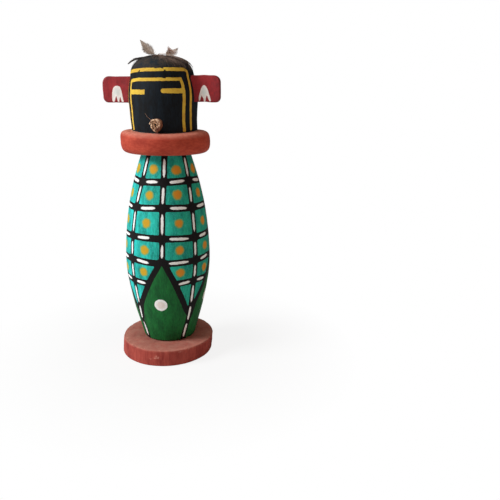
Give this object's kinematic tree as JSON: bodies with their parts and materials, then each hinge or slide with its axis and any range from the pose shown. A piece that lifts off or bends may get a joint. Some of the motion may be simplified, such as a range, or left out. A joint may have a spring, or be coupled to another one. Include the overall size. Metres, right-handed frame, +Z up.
{
  "type": "kachina doll",
  "caption": "Carved and painted wooden kachina doll with a black mask, tab ears, crown feathers and a turquoise body, standing on a red disc.",
  "frame": {"origin": "middle of the base's underside", "axes": "+Z up along the figure, the mask looks along -Y, +X is the viewer's right when facing the mask"},
  "size_m": [0.067, 0.0575, 0.183],
  "materials": {
    "painted_figure": "matt hand-brushed paint on carved root wood",
    "painted_base": "matt red paint on sawn wood, rubbed and dusty on top",
    "painted_ear": "matt red paint with white marks",
    "husk": "dry rolled husk",
    "feather": "soft natural feather"
  },
  "bodies": {
    "root": {"base": "painted_base", "figure": "painted_figure", "ear_left": "painted_ear", "ear_right": "painted_ear", "snout": "husk", "feather_upright": "feather", "feather_fan": "feather", "feather_dark_left": "feather", "feather_crown_left": "feather", "feather_crown_right": "feather", "feather_crown_front": "feather"}
  },
  "joints": []
}
